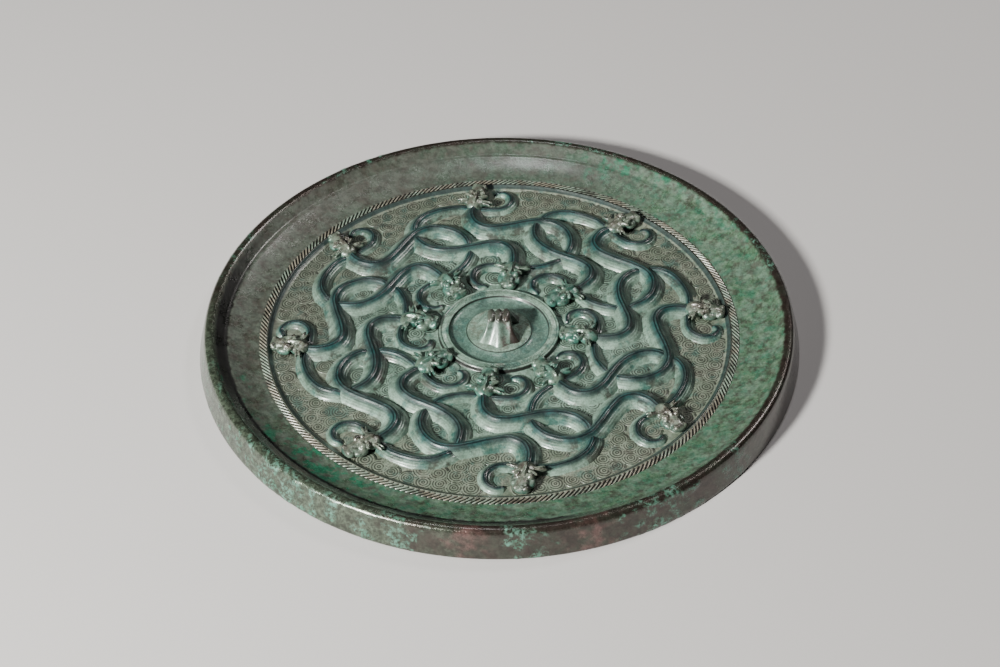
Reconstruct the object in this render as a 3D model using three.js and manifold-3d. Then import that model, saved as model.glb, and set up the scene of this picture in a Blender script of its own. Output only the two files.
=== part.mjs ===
// Ancient bronze mirror, cast in one piece, lying on its polished face with the decorated back up.
// Millimetres, +Z up. The origin is the middle of the flat underside.
import * as THREE from 'three';
import { mergeVertices } from 'three/addons/utils/BufferGeometryUtils.js';
import Module from 'manifold-3d';

const wasm = await Module();
wasm.setup();

// ---- Driving dimensions -------------------------------------------------------------------
const BASE_RADIUS = 95;          // outer edge where the wall meets the underside
const LIP_OUTER = 92.5;          // flat rounded lip that crowns the dished border
const LIP_INNER = 89.8;
const LIP_HEIGHT = 9.5;
const LIP_ROUND = 0.7;
const FOLD_RADIUS = 85.5;        // where the gentle dish turns up into the steeper slope of the lip
const FOLD_LEVEL = 6.3;
const ROPE_OUTER = 76;           // rope ring, and where the dished border starts
const ROPE_INNER = 73.6;
const ROPE_CROWN = 0.4;
const RING_LEVEL = 3.3;          // general level of the back at the rope ring
const FIELD_LEVEL = 2.4;         // sunk ground of the serpent field
const FIELD_OUTER = 71.8;
const FIELD_INNER = 19.2;
const HUB_OUTER = 18.7;          // raised ring round the knob
const HUB_INNER = 16.2;
const HUB_LEVEL = 3.7;
const DISC_RADIUS = 10.2;        // plain disc that carries the knob
const DISC_LEVEL = 3.1;
const CHANNEL_DEPTH = 0.9;       // concave channel between the disc and the raised ring
const DISH_STEPS = 3;
const TURN_FACETS = 64;

const UNITS = 8;                 // the pattern repeats eight times round the field
const UNIT_PHASE = -12;          // degrees from +X to the first unit's axis
const BODY_RISE = 0.34;          // crest height of a serpent as a share of its width
const ROOT_DEPTH = 0.7;          // how far relief is sunk into the plate so that it is one casting
const UNDER_SHARE = 0.3;         // crest height left where a serpent passes under another
const UNDER_REACH = 5;           // length over which it sinks

const KNOB_LENGTH = 17.4;        // along Y, foot to foot
const KNOB_HEIGHT = 7.4;
const KNOB_FOOT_WIDTH = 13;      // along X
const KNOB_TOP_WIDTH = 6.8;
const FOOT_ROUNDING = 0.32;      // how far the corners of the feet draw back, as a share
const FLUTE_DEPTH = 0.6;
const TUNNEL_WIDTH = 6;
const TUNNEL_HEIGHT = 5;

// A serpent's crest line in its unit's own plan: x runs clockwise, y outwards from the centre.
// Each list starts at the back of the head and ends at the tip of the curled tail.
const OUTER_SERPENT = {
  path: [
    [-20.3, 59.5], [-19.9, 53.4], [-17.3, 49.3], [-13.2, 48.0], [-7.6, 49.8], [-1.5, 52.9],
    [3.6, 54.8], [8.2, 54.4], [12.0, 51.9], [14.7, 47.8], [15.4, 43.4], [14.3, 39.0],
    [11.6, 35.2], [7.6, 32.4], [3.0, 31.0], [-2.2, 30.6], [-7.4, 30.6], [-11.4, 29.2],
    [-13.6, 26.0], [-13.3, 22.4], [-10.8, 20.3], [-7.6, 20.6],
  ],
  passesUnder: [[14.0, 38.4], [-1.4, 30.6]],
  heading: [0, 1],
};
const INNER_SERPENT = {
  path: [
    [-1.4, 29.0], [-1.8, 33.6], [-3.2, 37.8], [-6.6, 40.3], [-11.0, 40.0], [-16.0, 37.7],
    [-20.8, 35.4], [-26.0, 34.2], [-31.0, 34.9], [-35.0, 37.8], [-37.4, 42.4], [-37.2, 47.4],
    [-34.8, 51.6], [-30.6, 55.0], [-25.8, 57.2], [-20.2, 57.8], [-15.0, 58.2], [-10.8, 59.6],
    [-8.6, 63.2], [-9.6, 66.8], [-12.8, 68.2], [-15.4, 66.4],
  ],
  passesUnder: [[-37.0, 40.6], [-20.2, 57.8]],
  heading: [0, -1],
};
// Width along a serpent: [share of the length, width]. The neck is stout and the tail thin.
const BODY_WIDTH = [[0, 6.6], [0.1, 8.0], [0.3, 7.4], [0.5, 6.6], [0.65, 5.4], [0.78, 4.4], [0.9, 4.6], [1, 2.6]];
const BODY_STEPS = 28;
const TAIL_CROWDING = 0.35;      // the steps along a body come closer together towards the curled tail

// ---- Solids from closed meshes --------------------------------------------------------------
function toSolid(geometry) {
  const bare = geometry.clone();
  bare.deleteAttribute('normal');
  bare.deleteAttribute('uv');
  const merged = mergeVertices(bare, 1e-4);
  const index = merged.index.array;
  const triVerts = [];
  for (let i = 0; i < index.length; i += 3) {
    const [a, b, c] = [index[i], index[i + 1], index[i + 2]];
    if (a !== b && b !== c && c !== a) triVerts.push(a, b, c);
  }
  return new wasm.Manifold(new wasm.Mesh({
    numProp: 3,
    vertProperties: new Float32Array(merged.attributes.position.array),
    triVerts: new Uint32Array(triVerts),
  }));
}

function toGeometry(solid) {
  const mesh = solid.getMesh();
  const geometry = new THREE.BufferGeometry();
  geometry.setAttribute('position', new THREE.BufferAttribute(new Float32Array(mesh.vertProperties), 3));
  geometry.setIndex(new THREE.BufferAttribute(new Uint32Array(mesh.triVerts), 1));
  geometry.computeVertexNormals();
  return geometry;
}

function reshape(geometry, place) {
  const position = geometry.attributes.position;
  const point = new THREE.Vector3();
  for (let i = 0; i < position.count; i++) {
    point.fromBufferAttribute(position, i);
    place(point);
    position.setXYZ(i, point.x, point.y, point.z);
  }
  return geometry;
}

function polygon(points) {
  return new THREE.Shape(points.map(([x, y]) => new THREE.Vector2(x, y)));
}

function blendTable(table, share) {
  let i = 1;
  while (i < table.length - 1 && table[i][0] < share) i++;
  const [from, low] = table[i - 1];
  const [to, high] = table[i];
  return THREE.MathUtils.lerp(low, high, THREE.MathUtils.clamp((share - from) / (to - from), 0, 1));
}

// ---- The turned plate: underside, wall, lip, dished border, rope ring, field and hub ---------
function plate() {
  const profile = [new THREE.Vector2(0, 0)];
  const put = (radius, level) => profile.push(new THREE.Vector2(radius, level));
  put(BASE_RADIUS - 0.3, 0);
  put(BASE_RADIUS, 0.4);
  put(LIP_OUTER + LIP_ROUND / 3, LIP_HEIGHT - LIP_ROUND);
  put(LIP_OUTER - LIP_ROUND, LIP_HEIGHT);
  put(LIP_INNER + LIP_ROUND, LIP_HEIGHT);
  put(LIP_INNER, LIP_HEIGHT - LIP_ROUND / 2);
  for (let i = DISH_STEPS; i >= 0; i--) {
    const share = i / DISH_STEPS;
    const rise = (FOLD_LEVEL - RING_LEVEL) * share ** 1.4;
    put(THREE.MathUtils.lerp(ROPE_OUTER, FOLD_RADIUS, share), RING_LEVEL + rise);
  }
  put((ROPE_OUTER + ROPE_INNER) / 2, RING_LEVEL + ROPE_CROWN);
  put(ROPE_INNER, RING_LEVEL);
  put(FIELD_OUTER, FIELD_LEVEL);
  put(FIELD_INNER, FIELD_LEVEL);
  put(HUB_OUTER, HUB_LEVEL);
  put(HUB_INNER, HUB_LEVEL);
  put(THREE.MathUtils.lerp(DISC_RADIUS, HUB_INNER, 0.7), DISC_LEVEL - CHANNEL_DEPTH);
  put(THREE.MathUtils.lerp(DISC_RADIUS, HUB_INNER, 0.3), DISC_LEVEL - CHANNEL_DEPTH);
  put(DISC_RADIUS, DISC_LEVEL);
  put(0, DISC_LEVEL);
  const turned = new THREE.LatheGeometry(profile, TURN_FACETS);
  return toSolid(turned.rotateX(Math.PI / 2));
}

// ---- Serpents: a gabled body swept along its crest line, with a beast's head ------------------
function serpentBody({ path, passesUnder }) {
  const line = new THREE.CatmullRomCurve3(path.map(([x, y]) => new THREE.Vector3(x, y, 0)), false, 'centripetal');
  const length = line.getLength();
  const samples = line.getSpacedPoints(200);
  const dips = passesUnder.map(([x, y]) => {
    const distances = samples.map((p) => Math.hypot(p.x - x, p.y - y));
    return distances.indexOf(Math.min(...distances)) / 200;
  });
  const section = polygon([[-0.5, -1], [0.5, -1], [0.5, 0], [0, 1], [-0.5, 0]]);
  const bar = new THREE.ExtrudeGeometry(section, { depth: 1, steps: BODY_STEPS, bevelEnabled: false });
  reshape(bar, (p) => {
    const step = THREE.MathUtils.clamp(p.z, 0, 1);
    const share = step * (1 + TAIL_CROWDING * (1 - step));
    const width = blendTable(BODY_WIDTH, share);
    let rise = width * BODY_RISE;
    for (const dip of dips) {
      const away = (share - dip) * length / UNDER_REACH;
      rise *= 1 - (1 - UNDER_SHARE) * Math.exp(-away * away);
    }
    const centre = line.getPointAt(share);
    const along = line.getTangentAt(share);
    const level = p.y < 0 ? -ROOT_DEPTH : p.y * rise;
    p.set(centre.x + along.y * p.x * width, centre.y - along.x * p.x * width, FIELD_LEVEL + level);
  });
  // The bar's own side-to-side axis is mirrored by the sweep, so its faces are turned back out.
  const index = [...Array(bar.attributes.position.count).keys()];
  for (let i = 0; i < index.length; i += 3) [index[i], index[i + 1]] = [index[i + 1], index[i]];
  bar.setIndex(index);
  return toSolid(bar);
}

// A lump of a head: a low-faceted ball of the given half sizes, placed forward, aside and up,
// with a flat bottom sunk a little into the ground.
function lump([halfLength, halfWidth, halfHeight], [forward, aside, up], facets) {
  const ball = new THREE.SphereGeometry(1, facets, Math.ceil(facets / 2));
  ball.rotateX(Math.PI / 2);
  ball.scale(halfWidth, halfLength, halfHeight);
  ball.translate(aside, forward, up);
  return toSolid(reshape(ball, (p) => p.setZ(Math.max(p.z, -ROOT_DEPTH))));
}

function ear(side) {
  const cone = new THREE.ConeGeometry(1.3, 5.2, 4);
  cone.rotateZ(-side * THREE.MathUtils.degToRad(84));
  cone.translate(side * 3.2, 0.6, 2.5);
  return toSolid(cone);
}

// Seen from above a head is a skull with full cheeks, a waist and a broad snout; it points along +Y.
function beastHead() {
  const cheek = [[2.7, -1.2], [3.8, 2.4], [2.5, 6.0], [2.9, 8.2], [1.4, 10.1]];
  const outline = polygon([...cheek, ...cheek.map(([x, y]) => [-x, y]).reverse()]);
  const bevel = { bevelSize: 1.2, bevelOffset: -1.2, bevelThickness: 0.9, bevelSegments: 1 };
  const block = new THREE.ExtrudeGeometry(outline, { depth: 1, steps: 1, ...bevel });
  const crown = [[-1.2, 3.4], [2, 4.1], [4.4, 4.0], [6, 2.9], [8.2, 3.2], [10.1, 2.0]];
  reshape(block, (p) => {
    const share = [-ROOT_DEPTH, -ROOT_DEPTH / 2, 0.55, 1][Math.round((p.z + 0.9) / 0.933)];
    p.z = share < 0 ? -ROOT_DEPTH : share * blendTable(crown, p.y);
  });
  let head = toSolid(block);
  for (const side of [-1, 1]) {
    head = head.add(lump([1.7, 1.4, 1.6], [4.2, side * 2.2, 2.9], 5));
    head = head.add(ear(side));
  }
  return head;
}

function serpent(design) {
  const [x, y] = design.path[0];
  const turn = design.heading[1] > 0 ? 0 : 180;
  const head = beastHead().rotate([0, 0, turn]).translate([x, y, FIELD_LEVEL]);
  return serpentBody(design).add(head);
}

// ---- The knob: a fluted bridge, flared to its feet, with a cord tunnel along X ----------------
function knobHalfLength(rise) {
  return (KNOB_LENGTH / 2) * (1 - rise) ** 0.75;
}

function knob() {
  const rises = [0, 0.25, 0.5, 0.75, 0.92];
  const near = rises.map((rise) => [-knobHalfLength(rise), rise * KNOB_HEIGHT]);
  const far = near.map(([y, z]) => [-y, z]).reverse();
  const arch = polygon([[KNOB_LENGTH / 2, -ROOT_DEPTH], [-KNOB_LENGTH / 2, -ROOT_DEPTH], ...near, [0, KNOB_HEIGHT], ...far]);
  const body = new THREE.ExtrudeGeometry(arch, { depth: 2, steps: 4, bevelEnabled: false });
  body.translate(0, 0, -1);
  reshape(body, (p) => {
    const [length, height, across] = [p.x, p.y, p.z];
    const rise = THREE.MathUtils.clamp(height / KNOB_HEIGHT, 0, 1);
    const halfWidth = THREE.MathUtils.lerp(KNOB_TOP_WIDTH, KNOB_FOOT_WIDTH, (1 - rise) ** 1.8) / 2;
    const flute = FLUTE_DEPTH * Math.sin(Math.PI * Math.abs(across)) ** 2 * (1 - rise * rise);
    const rounded = length * (1 - FOOT_ROUNDING * across * across * (1 - rise));
    p.set(across * halfWidth, rounded - Math.sign(length) * flute, DISC_LEVEL + height);
  });
  let solid = toSolid(body);
  for (const across of [-1, 0, 1]) {
    solid = solid.add(lump([3.8, 1.4, 1.5], [0, across * 2.6, DISC_LEVEL + KNOB_HEIGHT - 1.4], 6));
  }
  const half = TUNNEL_WIDTH / 2;
  const hole = new THREE.Shape();
  hole.moveTo(-half, -1.5);
  hole.lineTo(half, -1.5);
  hole.lineTo(half, TUNNEL_HEIGHT - half);
  hole.absarc(0, TUNNEL_HEIGHT - half, half, 0, Math.PI);
  const cutter = new THREE.ExtrudeGeometry(hole, { depth: 24, steps: 1, curveSegments: 8, bevelEnabled: false });
  cutter.translate(0, 0, -12);
  reshape(cutter, (p) => p.set(p.z, p.x, DISC_LEVEL + p.y));
  return solid.subtract(toSolid(cutter));
}

// ---- The casting ------------------------------------------------------------------------------
function mirror() {
  const relief = [knob()];
  for (const design of [OUTER_SERPENT, INNER_SERPENT]) {
    const one = serpent(design);
    for (let unit = 0; unit < UNITS; unit++) {
      relief.push(one.rotate([0, 0, UNIT_PHASE - 90 + unit * 360 / UNITS]));
    }
  }
  return relief.reduce((whole, piece) => whole.add(piece), plate());
}

const bronze = new THREE.MeshStandardMaterial({ color: 0x5e8574, roughness: 0.62, metalness: 0.35 });
const casting = new THREE.Mesh(toGeometry(mirror()), bronze);
casting.name = 'mirror';

const part = new THREE.Group();
part.add(casting);
export default part;
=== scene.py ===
import math
import random

import bpy
import numpy as np
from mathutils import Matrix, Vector, noise


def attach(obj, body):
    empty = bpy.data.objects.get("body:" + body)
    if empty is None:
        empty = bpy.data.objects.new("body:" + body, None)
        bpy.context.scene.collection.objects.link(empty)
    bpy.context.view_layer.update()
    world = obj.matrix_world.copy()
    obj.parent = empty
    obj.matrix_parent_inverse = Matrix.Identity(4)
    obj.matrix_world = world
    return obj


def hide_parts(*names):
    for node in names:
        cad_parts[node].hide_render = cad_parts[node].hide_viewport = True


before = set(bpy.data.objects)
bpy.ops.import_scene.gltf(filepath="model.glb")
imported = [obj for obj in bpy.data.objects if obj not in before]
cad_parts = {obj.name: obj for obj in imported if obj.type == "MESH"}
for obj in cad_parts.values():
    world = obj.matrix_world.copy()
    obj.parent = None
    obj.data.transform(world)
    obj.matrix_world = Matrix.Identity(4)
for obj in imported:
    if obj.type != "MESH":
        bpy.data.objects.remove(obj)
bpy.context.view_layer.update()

# ---- Studio -------------------------------------------------------------------------------------
# A pale table under soft studio light, seen from the front at about forty degrees through a long
# lens. The main light stands low at the near left, and two weak ones stand overhead and behind.
MM = 0.001
VIEW_ELEVATION = math.radians(42.36)
VIEW_ROLL = math.radians(-0.93)
VIEW_DISTANCE = 703.7 * MM
VIEW_TARGET = Vector((0.24, -2.05, 3.3)) * MM
LENS, SENSOR = 79.98, 36
WORLD_TINT, WORLD_STRENGTH = (0.8, 0.84, 0.88, 1), 0.012
TABLE_SIZE, TABLE_COLOUR = 6, (0.62, 0.61, 0.6, 1)

camera = bpy.data.objects.new("camera", bpy.data.cameras.new("camera"))
bpy.context.scene.collection.objects.link(camera)
camera.data.lens = LENS
camera.data.sensor_width = SENSOR
camera.rotation_mode = "ZYX"
camera.rotation_euler = (math.pi / 2 - VIEW_ELEVATION, 0, VIEW_ROLL)
towards_camera = Vector((0, -math.cos(VIEW_ELEVATION), math.sin(VIEW_ELEVATION)))
camera.location = VIEW_TARGET + VIEW_DISTANCE * towards_camera
bpy.context.scene.camera = camera


def soft_light(name, direction, height, distance, size, energy, colour):
    """A square area light at a compass direction and height (degrees), aimed at the mirror."""
    lamp = bpy.data.lights.new(name, "AREA")
    lamp.size = size
    lamp.energy = energy
    lamp.color = colour
    flat, up = math.radians(direction), math.radians(height)
    stand = Vector((math.cos(flat) * math.cos(up), math.sin(flat) * math.cos(up), math.sin(up)))
    holder = bpy.data.objects.new(name, lamp)
    bpy.context.scene.collection.objects.link(holder)
    holder.location = stand * distance
    holder.rotation_euler = stand.to_track_quat("Z", "Y").to_euler()


soft_light("key", 224, 30, 1.1, 0.12, 31, (1.0, 0.98, 0.94))
soft_light("overhead", 105, 76, 1.2, 0.12, 1.3, (0.97, 0.98, 1.0))
soft_light("back", 44, 48, 1.2, 0.2, 3.2, (1.0, 0.93, 0.92))


world = bpy.data.worlds.new("studio")
bpy.context.scene.world = world
world.use_nodes = True
world.node_tree.nodes["Background"].inputs["Color"].default_value = WORLD_TINT
world.node_tree.nodes["Background"].inputs["Strength"].default_value = WORLD_STRENGTH


def node(tree, kind, inputs=None, **settings):
    """Adds a shader node; an input given as a socket is linked, any other value is set."""
    made = tree.nodes.new("ShaderNode" + kind)
    for setting, value in settings.items():
        setattr(made, setting, value)
    for name, value in (inputs or {}).items():
        if isinstance(value, bpy.types.NodeSocket):
            tree.links.new(value, made.inputs[name])
        else:
            made.inputs[name].default_value = value
    return made


def new_material(name):
    """An empty material with its Principled shader and output, as (material, tree, shader)."""
    material = bpy.data.materials.new(name)
    material.use_nodes = True
    return material, material.node_tree, material.node_tree.nodes["Principled BSDF"]


bpy.ops.object.select_all(action="DESELECT")
bpy.ops.mesh.primitive_plane_add(size=TABLE_SIZE)
floor = bpy.context.object
floor.name = "table_top"
table_paint, tree, shader = new_material("pale_table")
shader.inputs["Base Color"].default_value = TABLE_COLOUR
shader.inputs["Roughness"].default_value = 0.85
floor.data.materials.append(table_paint)


# ---- The turned plate -----------------------------------------------------------------------------
# The body of the casting: flat underside, sloping wall, rounded lip, dished border, seat of the rope
# ring, sunk field and the ringed hub. Bronze poured in one go, then scraped round and polished.
BASE_RADIUS = 95.0
LIP_OUTER, LIP_INNER, LIP_HEIGHT = 92.5, 89.8, 9.5
FOLD_RADIUS, FOLD_LEVEL = 85.5, 6.3
ROPE_OUTER, ROPE_INNER = 76.0, 73.6
RING_LEVEL = 3.3
FIELD_LEVEL, FIELD_OUTER, FIELD_INNER = 2.4, 71.8, 19.2
HUB_OUTER, HUB_INNER, HUB_LEVEL = 18.7, 16.2, 3.6
DISC_RADIUS, DISC_LEVEL = 10.2, 3.1
CHANNEL_DEPTH = 0.9
FIELD_BED = FIELD_LEVEL - 0.32       # the whorls of the ground stand on this
TURNS = 600
WEAR_REACH = 0.45                    # how far long handling has rounded the edges
PROFILE_SPACING, PLAIN_SPACING = 0.42, 3.0


def plate_profile():
    """(radius, level) points from the edge of the underside over the lip to the middle of the disc."""
    points = [(94.6, 0), (BASE_RADIUS, 0.4), (LIP_OUTER + 0.55, LIP_HEIGHT - 1.6)]
    points += [(LIP_OUTER + 0.1, LIP_HEIGHT - 0.6), (LIP_OUTER - 0.75, LIP_HEIGHT - 0.05)]
    points += [(LIP_INNER + 0.7, LIP_HEIGHT), (LIP_INNER, LIP_HEIGHT - 0.35)]
    points.append((FOLD_RADIUS + 0.9, FOLD_LEVEL + 0.1))
    for share in np.linspace(1, 0, 12):
        level = RING_LEVEL + (FOLD_LEVEL - RING_LEVEL) * share ** 1.4
        points.append((ROPE_OUTER + (FOLD_RADIUS - ROPE_OUTER) * share, level))
    points += [(ROPE_OUTER - 0.15, RING_LEVEL - 0.2), (ROPE_INNER + 0.1, RING_LEVEL - 0.2)]
    points += [(ROPE_INNER - 0.05, RING_LEVEL + 0.25), (ROPE_INNER - 0.35, RING_LEVEL + 0.25)]
    points += [(ROPE_INNER - 0.5, RING_LEVEL - 0.15), (FIELD_OUTER, FIELD_LEVEL - 0.05)]
    points += [(FIELD_OUTER - 0.4, FIELD_BED), (FIELD_INNER + 0.3, FIELD_BED)]
    points += [(FIELD_INNER - 0.1, HUB_LEVEL), (HUB_OUTER, HUB_LEVEL + 0.2)]
    points += [(HUB_OUTER - 0.35, HUB_LEVEL - 0.2), (HUB_INNER + 0.4, HUB_LEVEL - 0.2)]
    points += [(HUB_INNER, HUB_LEVEL + 0.15), (HUB_INNER - 0.4, HUB_LEVEL - 0.4)]
    for share in np.linspace(0.04, 0.96, 14):
        radius = HUB_INNER - 0.5 + (DISC_RADIUS + 0.3 - HUB_INNER + 0.5) * share
        sag = math.sqrt(max(0.0, 1 - (2 * share - 1) ** 2))
        points.append((radius, DISC_LEVEL - 0.15 - (CHANNEL_DEPTH - 0.15) * sag))
    points += [(DISC_RADIUS + 0.25, DISC_LEVEL - 0.35), (DISC_RADIUS - 0.1, DISC_LEVEL + 0.08)]
    points += [(DISC_RADIUS - 0.8, DISC_LEVEL), (0, DISC_LEVEL)]
    return points


def soften(points, spacing, reach):
    """Resamples a profile and averages it over a short reach, as long handling rounds the edges."""
    points = np.array(points, float)
    run = np.concatenate([[0], np.cumsum(np.hypot(*np.diff(points, axis=0).T))])
    fine = np.linspace(0, run[-1], int(run[-1] / 0.05))
    line = np.stack([np.interp(fine, run, points[:, k]) for k in (0, 1)], axis=1)
    window = max(1, int(reach / 0.05)) | 1
    padded = np.pad(line, ((window // 2, window // 2), (0, 0)), mode="edge")
    line = np.stack([np.convolve(padded[:, k], np.ones(window) / window, "valid") for k in (0, 1)], axis=1)
    keep = [0]
    for i in range(1, len(fine)):
        radius = line[i, 0]
        plain = FIELD_INNER + 1 < radius < FIELD_OUTER - 1 or radius < DISC_RADIUS - 1.2
        if fine[i] - fine[keep[-1]] >= (PLAIN_SPACING if plain else spacing):
            keep.append(i)
    keep.append(len(fine) - 1)
    return line[keep]


def select_only(piece):
    bpy.ops.object.select_all(action="DESELECT")
    piece.select_set(True)
    bpy.context.view_layer.objects.active = piece


def new_piece(name, corners, faces, edges=()):
    """A mesh object from corners in millimetres."""
    mesh = bpy.data.meshes.new(name)
    mesh.from_pydata((np.asarray(corners, float) * MM).tolist(), list(edges), faces)
    mesh.validate()
    piece = bpy.data.objects.new(name, mesh)
    bpy.context.scene.collection.objects.link(piece)
    select_only(piece)
    return piece


def corners_of(piece):
    flat = np.empty(len(piece.data.vertices) * 3)
    piece.data.vertices.foreach_get("co", flat)
    return flat.reshape(-1, 3) / MM


def move_corners(piece, corners):
    piece.data.vertices.foreach_set("co", (np.asarray(corners) * MM).ravel())
    piece.data.update()


def paint(piece, name, values):
    """Stores one number per corner, which a material reads by name."""
    layer = piece.data.attributes.new(name, "FLOAT", "POINT")
    layer.data.foreach_set("value", np.asarray(values, np.float32))


def lathe(name, profile, turns):
    corners = [(radius, 0, level) for radius, level in profile]
    piece = new_piece(name, corners, [], [(i, i + 1) for i in range(len(corners) - 1)])
    bpy.ops.object.mode_set(mode="EDIT")
    bpy.ops.mesh.select_all(action="SELECT")
    bpy.ops.mesh.spin(steps=turns, angle=2 * math.pi, center=(0, 0, 0), axis=(0, 0, 1))
    bpy.ops.mesh.select_all(action="SELECT")
    bpy.ops.mesh.remove_doubles(threshold=1e-6)
    bpy.ops.mesh.normals_make_consistent(inside=False)
    bpy.ops.object.mode_set(mode="OBJECT")
    return piece


underside = [(0, 0), (30, 0), (60, 0), (85, 0)]
turned = [tuple(point) for point in soften(plate_profile(), PROFILE_SPACING, WEAR_REACH)]
plate = lathe("plate", underside + turned, TURNS)

# Corrosion clings to the wall in patches: direction and half spread in degrees, thickness in mm.
CRUSTS = [(228, 27, 0.5), (252, 6, 0.3), (274, 6, 0.22), (300, 11, 0.42), (318, 5, 0.2), (195, 12, 0.12)]
CRUSTS += [(20, 14, 0.2), (70, 20, 0.25), (120, 16, 0.3), (160, 12, 0.2)]
BLUSHES = [(263, 5), (286, 5)]

corners = corners_of(plate)
radius = np.hypot(corners[:, 0], corners[:, 1])
direction = np.degrees(np.arctan2(corners[:, 1], corners[:, 0])) % 360
level = corners[:, 2]
crust = np.zeros(len(corners))
blush = np.zeros(len(corners))
for i in np.nonzero((radius > 90.0) & (level > 0.05))[0]:
    place = Vector(corners[i])
    lumps = noise.turbulence(place / 3.2, 4, False)
    for middle, spread, thick in CRUSTS:
        near = 1 - (abs(direction[i] - middle) / spread) ** 2
        patch = near * 0.75 + lumps * 0.9 - 0.62
        crust[i] = max(crust[i], min(1, max(0, 2.4 * patch)) * min(1, thick / 0.25))
        if near > 0 and patch > 0 and level[i] < 9:
            swell = thick * min(1, patch * 2) * (0.55 + 0.45 * noise.noise(place / 1.1))
            corners[i, :2] *= min(BASE_RADIUS, radius[i] + swell) / radius[i]
            radius[i] = min(BASE_RADIUS, radius[i] + swell)
    for middle, spread in BLUSHES:
        near = 1 - (abs(direction[i] - middle) / spread) ** 2
        blush[i] = max(blush[i], min(1, max(0, near + lumps - 0.5)))
top = level > 0.3
for i in np.nonzero(top & (radius > FIELD_OUTER))[0]:
    corners[i, 2] += 0.05 * noise.noise(Vector(corners[i]) / 9)
move_corners(plate, corners)
paint(plate, "crust", crust)
paint(plate, "blush", blush)
bpy.ops.object.shade_smooth()


def new_group(name, inputs, outputs):
    """A shader node group with float or colour inputs {name: default} and outputs {name: kind}."""
    group = bpy.data.node_groups.new(name, "ShaderNodeTree")
    for title, default in inputs.items():
        kind = "NodeSocketFloat" if isinstance(default, (int, float)) else "NodeSocketColor"
        socket = group.interface.new_socket(title, in_out="INPUT", socket_type=kind)
        socket.default_value = default
    for title, kind in outputs.items():
        group.interface.new_socket(title, in_out="OUTPUT", socket_type="NodeSocket" + kind)
    return group, group.nodes.new("NodeGroupInput"), group.nodes.new("NodeGroupOutput")


def smooth_step(tree, value, low, high, first=0.0, last=1.0):
    ranged = node(tree, "MapRange", {"Value": value, "To Min": first, "To Max": last})
    ranged.interpolation_type = "SMOOTHSTEP"
    for title, bound in (("From Min", low), ("From Max", high)):
        if isinstance(bound, bpy.types.NodeSocket):
            tree.links.new(bound, ranged.inputs[title])
        else:
            ranged.inputs[title].default_value = bound
    return ranged.outputs["Result"]


def arithmetic(tree, operation, first, second=0.0):
    made = node(tree, "Math", operation=operation)
    for slot, value in enumerate((first, second)):
        if isinstance(value, bpy.types.NodeSocket):
            tree.links.new(value, made.inputs[slot])
        else:
            made.inputs[slot].default_value = value
    return made.outputs[0]


def blend(tree, share, under, over, how="MIX"):
    """Lays one colour over another by a share between 0 and 1."""
    made = node(tree, "Mix", data_type="RGBA", blend_type=how)
    for slot, value in ((0, share), (6, under), (7, over)):
        if isinstance(value, bpy.types.NodeSocket):
            tree.links.new(value, made.inputs[slot])
        else:
            made.inputs[slot].default_value = value
    return made.outputs[2]


# Group: patches of growth or wear, from fractal noise cut at a threshold. Size is in millimetres.
given_values = {"Size": 8.0, "Threshold": 0.5, "Softness": 0.06}
patches, given, put = new_group("patches", given_values, {"Mask": "Float"})
where = node(patches, "TexCoord").outputs["Object"]
scale = arithmetic(patches, "DIVIDE", 1 / MM, given.outputs["Size"])
cloud = node(patches, "TexNoise", {"Vector": where, "Scale": scale, "Detail": 6.0, "Roughness": 0.68})
low = arithmetic(patches, "SUBTRACT", given.outputs["Threshold"], given.outputs["Softness"])
high = arithmetic(patches, "ADD", given.outputs["Threshold"], given.outputs["Softness"])
patches.links.new(smooth_step(patches, cloud.outputs["Fac"], low, high), put.inputs["Mask"])

# Group: the fine skin of old cast metal, as a height for bump and a light and dark speckle.
skin, given, put = new_group("cast_skin", {"Grain": 0.7}, {"Height": "Float", "Speckle": "Float"})
where = node(skin, "TexCoord").outputs["Object"]
scale = arithmetic(skin, "DIVIDE", 1 / MM, given.outputs["Grain"])
grit = node(skin, "TexNoise", {"Vector": where, "Scale": scale, "Detail": 3.0, "Roughness": 0.75})
pits = node(skin, "TexNoise", {"Vector": where, "Scale": 420.0, "Detail": 5.0, "Roughness": 0.7})
height = arithmetic(skin, "ADD", grit.outputs["Fac"], arithmetic(skin, "MULTIPLY", pits.outputs["Fac"], 1.5))
skin.links.new(height, put.inputs["Height"])
speckle = arithmetic(skin, "MULTIPLY", height, 0.4)
skin.links.new(smooth_step(skin, speckle, 0.38, 0.62), put.inputs["Speckle"])

# Group: a wide wash across the disc along one direction (degrees), broken up at its edge.
given_values = {"Direction": 180.0, "Start": 0.0, "End": 60.0}
wash, given, put = new_group("wash", given_values, {"Mask": "Float"})
where = node(wash, "TexCoord").outputs["Object"]
turned = arithmetic(wash, "RADIANS", given.outputs["Direction"])
parts = node(wash, "SeparateXYZ", {"Vector": where})
across = arithmetic(wash, "MULTIPLY", parts.outputs["X"], arithmetic(wash, "COSINE", turned))
ahead = arithmetic(wash, "MULTIPLY", parts.outputs["Y"], arithmetic(wash, "SINE", turned))
ragged = node(wash, "TexNoise", {"Vector": where, "Scale": 45.0, "Detail": 5.0, "Roughness": 0.65})
ragged = arithmetic(wash, "MULTIPLY", arithmetic(wash, "SUBTRACT", ragged.outputs["Fac"], 0.5), 0.07)
reach = arithmetic(wash, "ADD", arithmetic(wash, "ADD", across, ahead), ragged)
low = arithmetic(wash, "MULTIPLY", given.outputs["Start"], MM)
high = arithmetic(wash, "MULTIPLY", given.outputs["End"], MM)
wash.links.new(smooth_step(wash, reach, low, high), put.inputs["Mask"])


def use(tree, group, **inputs):
    """Places one of the groups above with its own values and returns its outputs."""
    made = tree.nodes.new("ShaderNodeGroup")
    made.node_tree = group
    for title, value in inputs.items():
        made.inputs[title].default_value = value
    return made.outputs


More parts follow.
